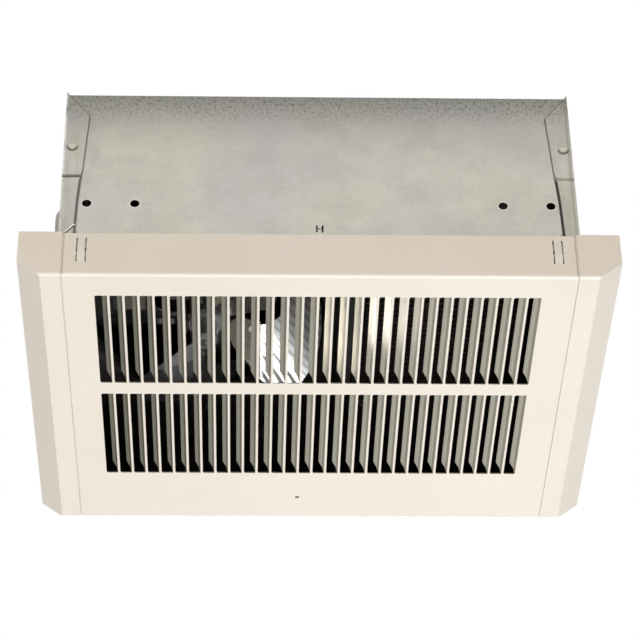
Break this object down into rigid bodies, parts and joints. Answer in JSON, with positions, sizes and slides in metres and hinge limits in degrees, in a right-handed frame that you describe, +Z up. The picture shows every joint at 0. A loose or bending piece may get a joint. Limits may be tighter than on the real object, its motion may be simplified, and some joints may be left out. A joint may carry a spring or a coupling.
{
  "type": "ceiling fan heater",
  "caption": "Recessed ceiling fan heater: a galvanised sheet-metal housing with fan, motor and finned element above a removable louvred grille tray.",
  "frame": {"origin": "middle of the ceiling opening, level with the ceiling face that the tray rim meets", "axes": "+X along the length towards the heating element, +Y across the depth, +Z up into the ceiling; the grille faces -Z"},
  "size_m": [0.416, 0.3, 0.171],
  "materials": {
    "galvanised": "galvanised, spangled",
    "dark_sheet": "flat black",
    "bright_steel": "zinc plated",
    "terminal_body": "moulded",
    "ground_green": "green plated",
    "bearing_plate": "die cast",
    "sintered_bronze": "sintered",
    "lamination_steel": "stacked laminations",
    "copper": "bare copper",
    "bobbin_plastic": "moulded",
    "coil_wire": "enamelled winding",
    "element_sheath": "oxidised",
    "element_plate": "plated, heat tinted",
    "ceramic": "glazed",
    "switch_body": "phenolic",
    "lead_white": "insulation",
    "lead_red": "insulation",
    "terminal_brass": "tinned brass",
    "cast_aluminium": "cast",
    "polished_aluminium": "bright rolled",
    "painted_sheet": "warm white enamel, satin"
  },
  "bodies": {
    "housing": {"housing_wrapper": "galvanised", "left_end_panel": "galvanised", "right_end_panel": "galvanised", "corner_rivets": "galvanised", "fan_deck": "dark_sheet", "deck_screws": "bright_steel", "divider": "dark_sheet", "divider_screws": "bright_steel", "wiring_cover": "galvanised", "wiring_cover_screw": "bright_steel", "terminal_block": "terminal_body", "terminal_screws": "bright_steel", "ground_screw": "ground_green", "grille_clips": "bright_steel", "clip_rivets": "bright_steel", "motor_strap": "galvanised", "strap_screws": "bright_steel", "motor_mount_screws": "bright_steel", "lower_bearing_bracket": "bearing_plate", "upper_bearing_bracket": "bearing_plate", "bearing_bushes": "sintered_bronze", "stator_core": "lamination_steel", "shading_rings": "copper", "coil_bobbin": "bobbin_plastic", "coil_winding": "coil_wire", "motor_clamp_screws": "bright_steel", "motor_clamp_nuts": "bright_steel", "heating_element": "element_sheath", "element_plates": "element_plate", "element_brackets": "galvanised", "element_bracket_screws": "bright_steel", "element_bushes": "ceramic", "element_terminals": "bright_steel", "limit_switch": "switch_body", "limit_switch_screws": "bright_steel", "motor_leads": "lead_white", "heater_leads": "lead_red", "lead_receptacles": "terminal_brass"},
    "fan": {"motor_shaft": "bright_steel", "rotor_core": "lamination_steel", "rotor_end_rings": "cast_aluminium", "thrust_washers": "bobbin_plastic", "fan_hub": "cast_aluminium", "hub_set_screw": "bright_steel", "fan_spider": "polished_aluminium", "fan_blades": "polished_aluminium", "fan_rivets": "bright_steel"},
    "grille": {"louvre_panel": "painted_sheet", "left_end_cap": "painted_sheet", "right_end_cap": "painted_sheet"}
  },
  "joints": [
    {"name": "fan_spin", "type": "hinge", "parent": "housing", "child": "fan", "pos_m": [-0.081, 0.01, 0.073], "axis": [0, 0, 1], "continuous": true},
    {"name": "grille_pull", "type": "slide", "parent": "housing", "child": "grille", "axis": [0, 0, -1], "range_m": [0, 0.03]}
  ]
}
